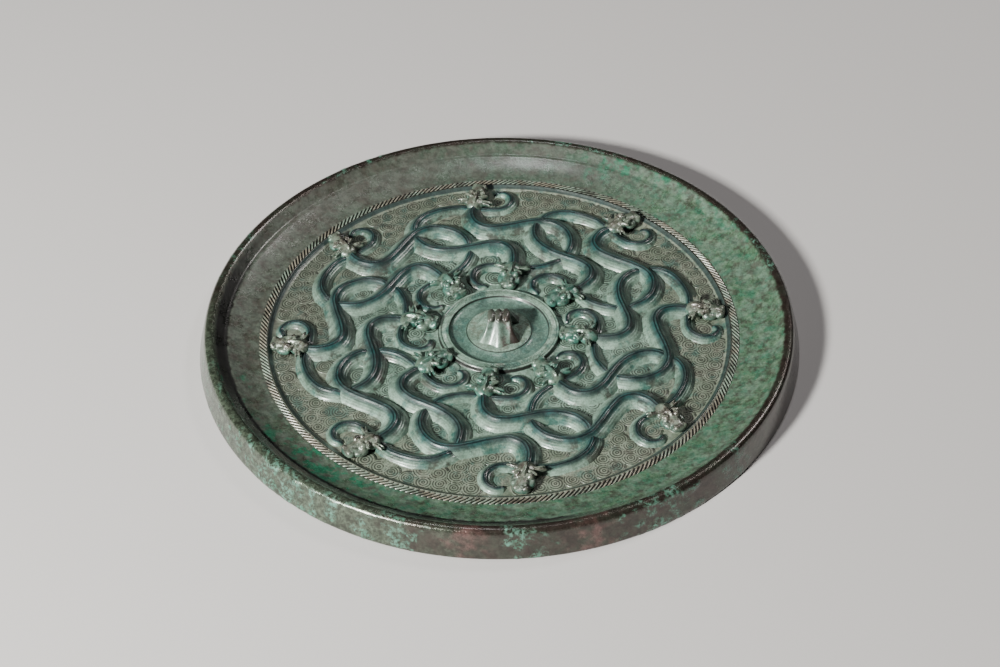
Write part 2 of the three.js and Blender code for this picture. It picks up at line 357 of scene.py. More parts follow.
def grow(tree, colour, over, size, threshold, softness=0.06, strength=1.0):
    """Lays patches of another colour over a colour."""
    mask = use(tree, patches, Size=size, Threshold=threshold, Softness=softness)["Mask"]
    return blend(tree, arithmetic(tree, "MULTIPLY", mask, strength), colour, over)


def finish_bronze(tree, shader, colour, roughness, metal, grain, bump):
    """Speckle, roughness and bump shared by every surface of the casting."""
    fine = use(tree, skin, Grain=grain)
    dark = blend(tree, 0.8, colour, (0.3, 0.3, 0.28, 1), "MULTIPLY")
    speckled = blend(tree, smooth_step(tree, fine["Speckle"], 0, 1, 0.75, 0), colour, dark)
    tree.links.new(speckled, shader.inputs["Base Color"])
    tree.links.new(roughness, shader.inputs["Roughness"])
    if isinstance(metal, bpy.types.NodeSocket):
        tree.links.new(metal, shader.inputs["Metallic"])
    else:
        shader.inputs["Metallic"].default_value = metal
    relief = node(tree, "Bump", {"Height": fine["Height"], "Strength": bump, "Distance": 0.2 * MM})
    shader.inputs["Coat Weight"].default_value = 0.6
    shader.inputs["Coat Roughness"].default_value = 0.2
    tree.links.new(relief.outputs["Normal"], shader.inputs["Normal"])


# Colours of the finish, from the palest verdigris down to the black of the deepest lines.
MINT = (0.31, 0.46, 0.365, 1)
SAGE = (0.145, 0.245, 0.185, 1)
TEAL = (0.02, 0.12, 0.10, 1)
EMERALD = (0.015, 0.19, 0.10, 1)
UMBER = (0.055, 0.042, 0.035, 1)
DARK = (0.012, 0.013, 0.011, 1)
TURQUOISE = (0.11, 0.30, 0.22, 1)
ROSE = (0.20, 0.11, 0.10, 1)
STONE = (0.10, 0.106, 0.09, 1)
SLATE = (0.02, 0.043, 0.043, 1)
OLIVE = (0.06, 0.076, 0.054, 1)


def blend_number(tree, share, under, over):
    """Goes from one number to another by a share between 0 and 1."""
    return node(tree, "MapRange", {"Value": share, "To Min": under, "To Max": over}).outputs["Result"]


def band(tree, value, first, last, soft):
    """A mask that is one between two distances in millimetres, with soft edges."""
    rising = smooth_step(tree, value, (first - soft) * MM, (first + soft) * MM)
    falling = smooth_step(tree, value, (last - soft) * MM, (last + soft) * MM, 1, 0)
    return arithmetic(tree, "MULTIPLY", rising, falling)


def from_centre(tree):
    """Distance from the axis of the mirror."""
    parts = node(tree, "SeparateXYZ", {"Vector": node(tree, "TexCoord").outputs["Object"]})
    squares = [arithmetic(tree, "MULTIPLY", parts.outputs[axis], parts.outputs[axis]) for axis in ("X", "Y")]
    return arithmetic(tree, "SQRT", arithmetic(tree, "ADD", *squares))


rim_bronze, tree, shader = new_material("rim_bronze")
distance = from_centre(tree)
ragged = use(tree, patches, Size=3.0, Threshold=0.5, Softness=0.2)["Mask"]
distance = arithmetic(tree, "ADD", distance, arithmetic(tree, "MULTIPLY", ragged, 0.5 * MM))
MOSS, PALE_MOSS, LICHEN = (0.085, 0.17, 0.10, 1), (0.12, 0.195, 0.145, 1), (0.17, 0.25, 0.17, 1)
DEEP_GREEN, FAR_GREEN = (0.03, 0.15, 0.09, 1), (0.085, 0.115, 0.09, 1)
WALL_MOSS, SCAB_SHADE = (0.13, 0.17, 0.12, 1), (0.05, 0.15, 0.10, 1)
green = grow(tree, MOSS, PALE_MOSS, 5.0, 0.5, 0.12, 0.8)
green = grow(tree, green, LICHEN, 2.2, 0.54, 0.08, 0.5)
green = grow(tree, green, DEEP_GREEN, 4.0, 0.55, 0.07, 0.6)
green = grow(tree, green, UMBER, 3.0, 0.55, 0.08, 0.65)
far = use(tree, wash, Direction=100.0, Start=40.0, End=82.0)["Mask"]
far_ground = grow(tree, FAR_GREEN, UMBER, 5.0, 0.5, 0.1, 0.7)
green = blend(tree, arithmetic(tree, "MULTIPLY", far, 0.8), green, far_ground)
left = use(tree, wash, Direction=168.0, Start=10.0, End=75.0)["Mask"]
left_ground = grow(tree, STONE, UMBER, 6.0, 0.52, 0.08, 0.7)
green = blend(tree, arithmetic(tree, "MULTIPLY", left, 0.8), green, left_ground)
for direction, first, last in ((226.0, 72.0, 80.0), (44.0, 80.0, 92.0)):
    fresh = use(tree, wash, Direction=direction, Start=first, End=last)["Mask"]
    fresh = arithmetic(tree, "MULTIPLY", fresh, use(tree, patches, Size=4.0, Threshold=0.52)["Mask"])
    green = blend(tree, arithmetic(tree, "MULTIPLY", fresh, 0.8), green, EMERALD)
green = grow(tree, green, UMBER, 3.2, 0.62, 0.04, 0.5)
# The steep inner slope on the near left faces away from the key light and is painted near black: painted
# shade.
slope = band(tree, distance, 85.9, 89.4, 0.4)
near_left_painted_shade = use(tree, wash, Direction=222.0, Start=18.0, End=52.0)["Mask"]
green = blend(tree, arithmetic(tree, "MULTIPLY", slope, near_left_painted_shade), green, DARK)
bare = smooth_step(tree, distance, 89.4 * MM, 90.4 * MM)
brown = grow(tree, UMBER, OLIVE, 7.0, 0.52, 0.1, 0.6)
mossy = use(tree, wash, Direction=214.0, Start=60.0, End=84.0)["Mask"]
brown = blend(tree, mossy, brown, grow(tree, OLIVE, WALL_MOSS, 1.4, 0.5, 0.1))
colour = blend(tree, bare, green, brown)
rosy = node(tree, "Attribute", attribute_name="blush").outputs["Fac"]
colour = blend(tree, arithmetic(tree, "MULTIPLY", rosy, 0.8), colour, ROSE)
scab = node(tree, "Attribute", attribute_name="crust").outputs["Fac"]
crusted = arithmetic(tree, "MULTIPLY", scab, 0.7)
scab = arithmetic(tree, "MULTIPLY", scab, use(tree, patches, Size=1.0, Threshold=0.52, Softness=0.09)["Mask"])
green_scab = grow(tree, TURQUOISE, SCAB_SHADE, 1.6, 0.52, 0.08, 0.8)
green_scab = grow(tree, green_scab, EMERALD, 5.0, 0.58, 0.05, 0.6)
colour = blend(tree, crusted, colour, OLIVE)
colour = blend(tree, scab, colour, green_scab)
mottle = use(tree, patches, Size=5.0, Threshold=0.5, Softness=0.12)["Mask"]
roughness = smooth_step(tree, mottle, 0, 1, 0.26, 0.55)
roughness = blend_number(tree, bare, roughness, 0.24)
roughness = arithmetic(tree, "ADD", roughness, arithmetic(tree, "MULTIPLY", scab, 0.35))
metal = arithmetic(tree, "MULTIPLY", bare, arithmetic(tree, "SUBTRACT", 0.55, scab))
finish_bronze(tree, shader, colour, roughness, metal, 0.8, 0.5)

field_verdigris, tree, shader = new_material("field_verdigris")
distance = from_centre(tree)
colour = grow(tree, SAGE, MINT, 14.0, 0.47, 0.12, 0.8)
DRAB, CREAM, PALE_DRAB = (0.19, 0.22, 0.155, 1), (0.30, 0.31, 0.235, 1), (0.24, 0.27, 0.21, 1)
GROOVE_SHADE, CHANNEL_TEAL = (0.03, 0.034, 0.026, 1), (0.04, 0.12, 0.10, 1)
olive = grow(tree, DRAB, CREAM, 5.0, 0.5, 0.1)
outer = smooth_step(tree, distance, 44 * MM, 60 * MM, 0, 0.75)
colour = blend(tree, outer, colour, olive)
colour = grow(tree, colour, TEAL, 6.0, 0.57, 0.06, 0.65)
colour = grow(tree, colour, UMBER, 5.0, 0.6, 0.06, 0.6)
left = use(tree, wash, Direction=165.0, Start=20.0, End=80.0)["Mask"]
colour = blend(tree, arithmetic(tree, "MULTIPLY", left, 0.5), colour, STONE)
groove = node(tree, "Attribute", attribute_name="groove").outputs["Fac"]
colour = blend(tree, smooth_step(tree, groove, 0.2, 0.8, 0, 0.88), colour, GROOVE_SHADE)
colour = blend(tree, smooth_step(tree, band(tree, distance, 72.1, 73.3, 0.25), 0, 1, 0, 0.9), colour, SLATE)
colour = blend(tree, band(tree, distance, 73.25, 73.55, 0.12), colour, DARK)
colour = blend(tree, smooth_step(tree, distance, 73.7 * MM, 74.0 * MM), colour, DARK)
channel = band(tree, distance, 10.4, 16.0, 0.4)
colour = blend(tree, arithmetic(tree, "MULTIPLY", channel, 0.55), colour, CHANNEL_TEAL)
disc = smooth_step(tree, distance, 9.6 * MM, 10.0 * MM, 0.6, 0)
colour = blend(tree, disc, colour, grow(tree, MINT, PALE_DRAB, 3.0, 0.52))
for radius, reach in ((10.35, 0.14), (15.8, 0.16), (18.3, 0.08), (19.3, 0.2)):
    colour = blend(tree, band(tree, distance, radius - reach, radius + reach, 0.12), colour, DARK)
roughness = smooth_step(tree, use(tree, patches, Size=6.0)["Mask"], 0, 1, 0.4, 0.58)
finish_bronze(tree, shader, colour, roughness, 0.1, 0.6, 0.5)

polished_face, tree, shader = new_material("polished_face")
OLD_BRONZE = (0.19, 0.17, 0.13, 1)
colour = grow(tree, OLD_BRONZE, SAGE, 18.0, 0.55, 0.05, 0.8)
colour = grow(tree, colour, EMERALD, 6.0, 0.62, 0.04, 0.7)
roughness = smooth_step(tree, use(tree, patches, Size=18.0, Threshold=0.55)["Mask"], 0, 1, 0.22, 0.6)
finish_bronze(tree, shader, colour, roughness, 0.7, 1.2, 0.15)

for material in (rim_bronze, field_verdigris, polished_face):
    plate.data.materials.append(material)
slots = []
for face in plate.data.polygons:
    away = face.center.xy.length / MM
    slots.append(2 if face.center.z < 0.02 * MM else int(away < ROPE_OUTER))
plate.data.polygons.foreach_set("material_index", slots)
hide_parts("mirror")
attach(plate, "root")


# ---- The rope ring --------------------------------------------------------------------------------
# A cord of short slanting strands runs round between the dished border and the sunk field. It was
# pressed into the mould strand by strand and cast with the plate.
STRANDS = 280
STRAND_RISE, STRAND_SINK = 0.42, 0.35
STRAND_COVER = 0.64                  # share of the pitch that a strand covers
STRAND_LEAN = math.radians(53)       # from the spoke, clockwise going outwards


def select_outward(piece):
    """Turns every face of a closed piece outwards."""
    select_only(piece)
    bpy.ops.object.mode_set(mode="EDIT")
    bpy.ops.mesh.select_all(action="SELECT")
    bpy.ops.mesh.normals_make_consistent(inside=False)
    bpy.ops.object.mode_set(mode="OBJECT")


def stamp(name, corners, faces, places, marks=None):
    """Copies a small closed form to each place, given as functions of its corners, in one mesh."""
    all_corners, all_faces = [], []
    for number, place in enumerate(places):
        all_corners.append(place(corners))
        all_faces += [[i + number * len(corners) for i in face] for face in faces]
    piece = new_piece(name, np.concatenate(all_corners), all_faces)
    select_outward(piece)
    bpy.ops.object.shade_smooth()
    for title, values in (marks or {}).items():
        paint(piece, title, np.tile(values, len(places)))
    return piece


def turn(corners, angle):
    cos, sin = math.cos(angle), math.sin(angle)
    x, y, z = corners.T
    return np.stack([cos * x - sin * y, sin * x + cos * y, z], axis=1)


def skin_of_rows(rows, columns):
    """Faces of a tube of rows of corners, each row a closed ring, with flat ends."""
    faces = []
    for row in range(rows - 1):
        for column in range(columns):
            after = (column + 1) % columns
            base = row * columns
            faces.append([base + column, base + after, base + columns + after, base + columns + column])
    faces.append(list(range(columns - 1, -1, -1)))
    faces.append([(rows - 1) * columns + column for column in range(columns)])
    return faces


def leaning_strand(inner, outer, level, rise, pitch, cover, lean):
    """A low ridge across a ring, leaning clockwise going outwards, that merges with both edges."""
    middle = (inner + outer) / 2
    section = [(-0.5, None), (-0.5, 0.1), (-0.3, 0.8), (0, 1), (0.3, 0.8), (0.5, 0.1), (0.5, None)]
    rows = []
    for radius in np.linspace(inner, outer, 7):
        ending = min(radius - inner + 0.3, outer - radius + 0.3, 0.7) / 0.7
        for across, up in section:
            angle = (across * pitch * cover - math.tan(lean) * (radius - middle)) / middle
            high = -STRAND_SINK if up is None else rise * up * ending
            rows.append((radius * math.cos(angle), radius * math.sin(angle), level + high))
    return np.array(rows), skin_of_rows(7, len(section))


pitch = math.pi * (ROPE_OUTER + ROPE_INNER) / STRANDS
corners, faces = leaning_strand(ROPE_INNER - 0.05, ROPE_OUTER + 0.1, RING_LEVEL - 0.14, STRAND_RISE, pitch,
                                STRAND_COVER, STRAND_LEAN)
turns = [lambda form, angle=2 * math.pi * number / STRANDS: turn(form, angle) for number in range(STRANDS)]
rope = stamp("rope_ring", corners, faces, turns)
rope_bronze, tree, shader = new_material("rope_bronze")
parts = node(tree, "SeparateXYZ", {"Vector": node(tree, "TexCoord").outputs["Object"]})
worn = smooth_step(tree, parts.outputs["Z"], (RING_LEVEL - 0.1) * MM, (RING_LEVEL + 0.2) * MM)
WORN_CREAM = (0.33, 0.31, 0.24, 1)
ridge = grow(tree, WORN_CREAM, MINT, 9.0, 0.5, 0.08, 0.7)
ridge = grow(tree, ridge, UMBER, 5.0, 0.56, 0.06, 0.7)
colour = blend(tree, worn, DARK, ridge)
roughness = smooth_step(tree, worn, 0, 1, 0.6, 0.38)
finish_bronze(tree, shader, colour, roughness, 0.25, 0.5, 0.3)
rope.data.materials.append(rope_bronze)
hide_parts("mirror")
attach(rope, "root")


# ---- The hatched hub ring -------------------------------------------------------------------------
# The raised ring round the hub carries a band of fine short strokes between two plain edges. The
# strokes were cut in the mould, so they stand up on the casting, and are rubbed nearly flat.
STROKES = 190
pitch = math.pi * (HUB_OUTER + HUB_INNER) / STROKES
corners, faces = leaning_strand(HUB_INNER + 0.45, HUB_OUTER - 0.4, HUB_LEVEL - 0.14, 0.12, pitch, 0.5,
                                math.radians(35))
turns = [lambda form, angle=2 * math.pi * number / STROKES: turn(form, angle) for number in range(STROKES)]
strokes = stamp("hub_strokes", corners, faces, turns)
strokes.data.materials.append(field_verdigris)
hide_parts("mirror")
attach(strokes, "root")


# ---- The serpents ---------------------------------------------------------------------------------
# Eight pairs of serpents are woven round the field. Each body is a broad gabled band with a double
# line along its crest and fine lines on its flanks. They are raised in one with the plate.
UNITS = 8
UNIT_PHASE = -12
BODY_RISE = 0.37
ROOT_DEPTH = 0.7
UNDER_SHARE, UNDER_REACH = 0.5, 2.2
LINE_GAP, LINE_DEPTH = 0.7, 0.03     # fine lines on the flanks
TOE_DROP = 0.32                      # the flanks run down into the bed of the ground
RIB_HALF, RIB_DROP = 0.125, 0.2      # the raised rib along the back, as shares of width and rise
CREST_LINE_DEPTH = 0.2
BODY_ROWS, BODY_COLUMNS = 150, 50

# A crest line in its unit's own plan, in millimetres: x runs clockwise, y outwards from the centre.
OUTER_SERPENT = {
    "path": [
        (-20.3, 59.5), (-19.9, 53.4), (-17.3, 49.3), (-13.2, 48.0), (-7.6, 49.8), (-1.5, 52.9),
        (3.6, 54.8), (8.2, 54.4), (12.0, 51.9), (14.7, 47.8), (15.4, 43.4), (14.3, 39.0),
        (11.6, 35.2), (7.6, 32.4), (3.0, 31.0), (-2.2, 30.6), (-7.4, 30.6), (-11.4, 29.2),
        (-13.6, 26.0), (-13.3, 22.4), (-10.8, 20.3), (-7.6, 20.6),
    ],
    "passes_under": [(14.0, 38.4), (-1.4, 30.6)],
    "heading": 1,
}
INNER_SERPENT = {
    "path": [
        (-1.4, 29.0), (-1.8, 33.6), (-3.2, 37.8), (-6.6, 40.3), (-11.0, 40.0), (-16.0, 37.7),
        (-20.8, 35.4), (-26.0, 34.2), (-31.0, 34.9), (-35.0, 37.8), (-37.4, 42.4), (-37.2, 47.4),
        (-34.8, 51.6), (-30.6, 55.0), (-25.8, 57.2), (-20.2, 57.8), (-15.0, 58.2), (-10.8, 59.6),
        (-8.6, 63.2), (-9.6, 66.8), (-12.8, 68.2), (-15.4, 66.4),
    ],
    "passes_under": [(-37.0, 40.6), (-20.2, 57.8)],
    "heading": -1,
}
# Width along a serpent: share of its length, width. The neck is stout and the tail thin.
BODY_WIDTH = [(0, 6.6), (0.1, 8.0), (0.3, 7.4), (0.5, 6.6), (0.65, 5.4), (0.78, 4.4), (0.9, 4.6), (1, 2.6)]
HAND_WANDER, WANDER_REACH = 0.09, 4.5    # unevenness left by hand modelling


def smooth_line(path, per_span=24):
    """A centripetal Catmull-Rom line through the points, as a dense list of plan points."""
    path = np.array(path, float)
    points = np.vstack([2 * path[0] - path[1], path, 2 * path[-1] - path[-2]])
    dense = []
    for before, start, end, after in zip(points, points[1:], points[2:], points[3:]):
        t1 = np.linalg.norm(start - before) ** 0.5
        t2 = t1 + np.linalg.norm(end - start) ** 0.5
        t3 = t2 + np.linalg.norm(after - end) ** 0.5
        for t in np.linspace(t1, t2, per_span, endpoint=False):
            a1 = (t1 - t) / t1 * before + t / t1 * start
            a2 = (t2 - t) / (t2 - t1) * start + (t - t1) / (t2 - t1) * end
            a3 = (t3 - t) / (t3 - t2) * end + (t - t2) / (t3 - t2) * after
            b1 = (t2 - t) / t2 * a1 + t / t2 * a2
            b2 = (t3 - t) / (t3 - t1) * a2 + (t - t1) / (t3 - t1) * a3
            dense.append((t2 - t) / (t2 - t1) * b1 + (t - t1) / (t2 - t1) * b2)
    return np.array(dense + [path[-1]])


def serpent_form(design):
    """Corners, faces and crest marks of one body in its unit's plan."""
    line = smooth_line(design["path"])
    run = np.concatenate([[0], np.cumsum(np.hypot(*np.diff(line, axis=0).T))])
    length = run[-1]
    step = np.linspace(0, 1, BODY_ROWS)
    share = step * (1 + 0.25 * (1 - step))
    centre = np.stack([np.interp(share * length, run, line[:, k]) for k in (0, 1)], axis=1)
    along = np.gradient(centre, axis=0)
    along /= np.linalg.norm(along, axis=1)[:, None]
    width = np.interp(share, *zip(*BODY_WIDTH))
    rise = width * BODY_RISE
    for under in design["passes_under"]:
        dip = share[np.argmin(np.hypot(*(centre - under).T))]
        away = (share - dip) * length / UNDER_REACH
        rise = rise * (1 - (1 - UNDER_SHARE) * np.exp(-away ** 2))
    tip = np.clip((1 - share) * length / 1.6, 0, 1) ** 0.5
    aside = np.linspace(-1, 1, BODY_COLUMNS)
    half = width[:, None] * 0.56 * np.maximum(tip, 0.05)[:, None]
    away = np.abs(aside)[None, :] * half
    rib = width[:, None] * RIB_HALF
    down = np.clip((away - 0.5 * rib) / (half - 0.5 * rib), 0, 1)
    flank = (1 - RIB_DROP) * (1 - 0.8 * down - 0.2 * down ** 4)
    gable = flank + RIB_DROP * np.exp(-(away / rib / 1.1) ** 3)
    level = rise[:, None] * gable * tip[:, None] - TOE_DROP * down ** 4
    crest_line = np.exp(-((away - 0.5 * rib) / 0.2) ** 2)
    level = level - CREST_LINE_DEPTH * crest_line * np.clip(rise, 0, 1)[:, None] * tip[:, None]
    lined = np.clip((away - 1.3 * rib) / 0.3, 0, 1) * np.clip((1 - np.abs(aside)) / 0.12, 0, 1)[None, :]
    wave = np.cos(2 * math.pi * away / LINE_GAP)
    level = level + LINE_DEPTH * lined * wave
    back = np.exp(-(away / rib / 2.2) ** 2.6)
    groove = np.maximum(crest_line, 0.22 * lined * (0.5 - 0.5 * wave))
    normal = np.stack([along[:, 1], -along[:, 0]], axis=1)
    plan = centre[:, None, :] + normal[:, None, :] * (aside[None, :] * half)[:, :, None]
    top = np.dstack([plan, FIELD_LEVEL - 0.06 + level])
    root = top[:, [0, -1], :].copy()
    root[:, :, 2] = FIELD_LEVEL - ROOT_DEPTH
    ring = np.concatenate([top, root[:, ::-1, :]], axis=1)
    foot = np.zeros((BODY_ROWS, 2))
    back, groove = (np.concatenate([mark, foot], axis=1) for mark in (back, groove))
    marks = {"back": back.ravel(), "groove": groove.ravel()}
    return ring.reshape(-1, 3), skin_of_rows(*ring.shape[:2]), marks


def unit_places():
    """The turn of each of the eight units, as a function of corners."""
    angles = [math.radians(UNIT_PHASE - 90 + 360 / UNITS * unit) for unit in range(UNITS)]
    return [lambda corners, angle=angle: turn(corners, angle) for angle in angles]


# Sides facing this way, away from the key light, are painted dark brown: partly stain, partly painted shade.
STAIN_AND_SHADE_FACING = (0.78, 0.62, 0.0)


def paint_stain_and_shade_side(piece):
    """Marks the sides that face the far right, away from the key light, for a dark brown that is partly stain
    never rubbed away and partly painted shade.
    """
    normals = np.empty(len(piece.data.vertices) * 3)
    piece.data.vertices.foreach_get("normal", normals)
    paint(piece, "stain_and_shade_side", np.clip(normals.reshape(-1, 3) @ STAIN_AND_SHADE_FACING, 0, 1))


serpent_verdigris, tree, shader = new_material("serpent_verdigris")
colour = grow(tree, SAGE, MINT, 12.0, 0.46, 0.12, 0.85)
colour = grow(tree, colour, TEAL, 8.0, 0.56, 0.06, 0.75)
colour = grow(tree, colour, UMBER, 9.0, 0.56, 0.05, 0.75)
left = use(tree, wash, Direction=160.0, Start=25.0, End=85.0)["Mask"]
colour = blend(tree, arithmetic(tree, "MULTIPLY", left, 0.4), colour, STONE)
stain_and_shade_side = node(tree, "Attribute", attribute_name="stain_and_shade_side").outputs["Fac"]
FLANK_STAIN_AND_SHADE = (0.045, 0.045, 0.038, 1)
SEA_TEAL = (0.012, 0.075, 0.075, 1)
LINE_BLACK = (0.004, 0.012, 0.014, 1)
# Flanks facing away from the key light are painted dark brown: partly stain, partly painted shade.
colour = blend(tree, smooth_step(tree, stain_and_shade_side, 0.1, 0.5, 0, 0.62), colour, FLANK_STAIN_AND_SHADE)
back = node(tree, "Attribute", attribute_name="back").outputs["Fac"]
slate = grow(tree, SLATE, SEA_TEAL, 6.0, 0.52, 0.08, 0.9)
colour = blend(tree, smooth_step(tree, back, 0.0, 0.9, 0, 0.92), colour, slate)
groove = node(tree, "Attribute", attribute_name="groove").outputs["Fac"]
colour = blend(tree, smooth_step(tree, groove, 0.05, 0.7, 0, 0.92), colour, LINE_BLACK)
roughness = smooth_step(tree, use(tree, patches, Size=5.0)["Mask"], 0, 1, 0.34, 0.52)
finish_bronze(tree, shader, colour, roughness, 0.12, 0.55, 0.4)

for name, design in (("outer_serpents", OUTER_SERPENT), ("inner_serpents", INNER_SERPENT)):
    corners, faces, marks = serpent_form(design)
    bodies = stamp(name, corners, faces, unit_places(), marks)
    worn = corners_of(bodies)
    for i in np.nonzero(worn[:, 2] > FIELD_LEVEL)[0]:
        worn[i, 2] += HAND_WANDER * noise.noise(Vector(worn[i]) / WANDER_REACH)
    move_corners(bodies, worn)
    paint_stain_and_shade_side(bodies)
    bodies.data.materials.append(serpent_verdigris)
    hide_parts("mirror")
    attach(bodies, "root")


# ---- The beast heads ------------------------------------------------------------------------------
# Each serpent ends in a beast's head: pointed ears, a narrow brow ridge, bulging eyes, a waist and a
# broad snout with rolled nostrils. They were modelled round, and are the most rubbed part.
HEAD_VOXEL = 0.27
# Rounded forms that make up a head: place (aside, forward, up), half sizes, turn about Z in degrees.
SINGLE_FORMS = [
    ((0, 0.4, 1.4), (3.3, 3.4, 2.0), 0),
    ((0, 1.8, 3.2), (0.75, 3.2, 1.1), 0),
    ((0, 6.2, 1.7), (2.3, 3.0, 1.7), 0),
    ((0, 8.3, 1.5), (2.9, 1.7, 1.5), 0),
]
PAIRED_FORMS = [
    ((1.9, 4.1, 2.8), (1.1, 1.2, 1.15), 0),
    ((2.3, 2.6, 2.9), (1.9, 0.65, 0.75), 26),
    ((2.7, 5.2, 1.3), (1.2, 2.3, 1.2), 8),
    ((1.45, 8.9, 2.3), (0.95, 0.8, 0.75), 0),
    ((4.1, 0.5, 2.3), (2.3, 0.42, 0.85), -12),
    ((3.9, -0.5, 2.2), (2.0, 0.38, 0.75), -22),
]


def rounded_form(place, half, turned):
    bpy.ops.mesh.primitive_uv_sphere_add(segments=20, ring_count=12, radius=MM)
    form = bpy.context.object
    form.scale = half
    form.rotation_euler = (0, 0, math.radians(turned))
    form.location = Vector(place) * MM
    return form


def fuse(name, forms, voxel, smoothing):
    """Joins rounded forms into one skin, as clay lumps are pressed and smoothed together."""
    bpy.ops.object.select_all(action="DESELECT")
    for form in forms:
        form.select_set(True)
    bpy.context.view_layer.objects.active = forms[0]
    bpy.ops.object.transform_apply(location=True, rotation=True, scale=True)
    bpy.ops.object.join()
    whole = bpy.context.object
    whole.name = name
    remesh = whole.modifiers.new("skin", "REMESH")
    remesh.mode = "VOXEL"
    remesh.voxel_size = voxel * MM
    bpy.ops.object.modifier_apply(modifier="skin")
    smooth = whole.modifiers.new("smooth", "SMOOTH")
    smooth.iterations = smoothing
    smooth.factor = 0.5
    bpy.ops.object.modifier_apply(modifier="smooth")
    return whole


def take_form(piece):
    """The corners and faces of a piece, which is then removed."""
    corners = corners_of(piece)
    faces = [list(face.vertices) for face in piece.data.polygons]
    bpy.data.objects.remove(piece)
    return corners, faces


bpy.ops.object.select_all(action="DESELECT")
forms = [rounded_form(*form) for form in SINGLE_FORMS]
for (aside, forward, up), half, turned in PAIRED_FORMS:
    forms.append(rounded_form((aside, forward, up), half, turned))
    forms.append(rounded_form((-aside, forward, up), half, -turned))
corners, faces = take_form(fuse("head", forms, HEAD_VOXEL, 2))
corners[:, 2] = np.maximum(corners[:, 2], -ROOT_DEPTH)


def head_places():
    places = []
    for design in (OUTER_SERPENT, INNER_SERPENT):
        x, y = design["path"][0]
        facing = 0 if design["heading"] > 0 else math.pi
        for unit in unit_places():
            def place(corners, unit=unit, facing=facing, x=x, y=y):
                return unit(turn(corners, facing) + np.array([x, y, FIELD_LEVEL]))
            places.append(place)
    return places


heads = stamp("beast_heads", corners, faces, head_places(), {"rise": corners[:, 2]})
paint_stain_and_shade_side(heads)
head_bronze, tree, shader = new_material("head_bronze")
rise = node(tree, "Attribute", attribute_name="rise").outputs["Fac"]
inner = smooth_step(tree, from_centre(tree), 34 * MM, 44 * MM, 1, 0)
JEWEL_GREEN, RUBBED, BRIGHT_RUBBED = (0.03, 0.22, 0.17, 1), (0.22, 0.26, 0.20, 1), (0.36, 0.33, 0.27, 1)
MAROON, PURPLE_BROWN = (0.06, 0.035, 0.033, 1), (0.04, 0.02, 0.02, 1)
green = grow(tree, SAGE, JEWEL_GREEN, 5.0, 0.5, 0.06, 0.8)
rubbed = grow(tree, RUBBED, BRIGHT_RUBBED, 3.5, 0.5, 0.08, 0.8)
rubbed = grow(tree, rubbed, MAROON, 3.5, 0.54, 0.06, 0.85)
colour = blend(tree, smooth_step(tree, rise, 1.2, 3.4, 0.25, 0.9), green, rubbed)
colour = blend(tree, arithmetic(tree, "MULTIPLY", inner, 0.6), colour, green)
colour = grow(tree, colour, DARK, 2.2, 0.58, 0.05, 0.7)
stain_and_shade_side = node(tree, "Attribute", attribute_name="stain_and_shade_side").outputs["Fac"]
# Head sides facing away from the key light are painted purple-brown: partly stain on the metal, partly
# painted shade.
colour = blend(tree, smooth_step(tree, stain_and_shade_side, 0.2, 0.6, 0, 0.85), colour, PURPLE_BROWN)
roughness = smooth_step(tree, rise, 1.0, 3.6, 0.42, 0.27)
finish_bronze(tree, shader, colour, roughness, 0.3, 0.5, 0.35)
heads.data.materials.append(head_bronze)
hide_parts("mirror")
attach(heads, "root")


# ---- The whorled ground ---------------------------------------------------------------------------
# The ground between the serpents is packed with small whorls of fine raised rings, stamped one by
# one into the mould with a punch, so they overlap a little and none stands quite true.
WHORL_RINGS, WHORL_GAP, WHORL_SIDES = 4, 0.8, 24
WHORL_ROW, WHORL_PITCH = 4.28, 5.0
CREST_CLEARANCE = 2.4                # no whorl stands nearer than this to a crest


def whorl_form():
    """A round stamp of raised rings whose edge sinks in the plate, and its groove marks."""
    corners, marks = [(0, 0, 0.34)], [0.0]
    for row in range(1, 2 * WHORL_RINGS + 1):
        away = row * WHORL_GAP / 2
        level = 0.3 if row % 2 == 0 else 0.12
        level -= 0.35 * max(0.0, away / (WHORL_RINGS * WHORL_GAP) - 0.7)
        for side in range(WHORL_SIDES):
            around = 2 * math.pi * side / WHORL_SIDES
            corners.append((away * math.cos(around), away * math.sin(around), level))
            marks.append(float(row % 2))
    for x, y, _ in corners[-WHORL_SIDES:]:
        corners.append((x, y, -0.4))
        marks.append(1.0)
    faces = [[0, 1 + side, 1 + (side + 1) % WHORL_SIDES] for side in range(WHORL_SIDES)]
    for row in range(2 * WHORL_RINGS):
        base = 1 + row * WHORL_SIDES
        for side in range(WHORL_SIDES):
            after = (side + 1) % WHORL_SIDES
            faces.append([base + side, base + WHORL_SIDES + side, base + WHORL_SIDES + after, base + after])
    faces.append([1 + 2 * WHORL_RINGS * WHORL_SIDES + side for side in reversed(range(WHORL_SIDES))])
    return np.array(corners), faces, {"groove": np.array(marks)}


crest_points = []
for design in (OUTER_SERPENT, INNER_SERPENT):
    line = smooth_line(design["path"], 4)
    for unit in unit_places():
        crest_points.append(unit(np.column_stack([line, np.zeros(len(line))]))[:, :2])
crest_points = np.concatenate(crest_points)

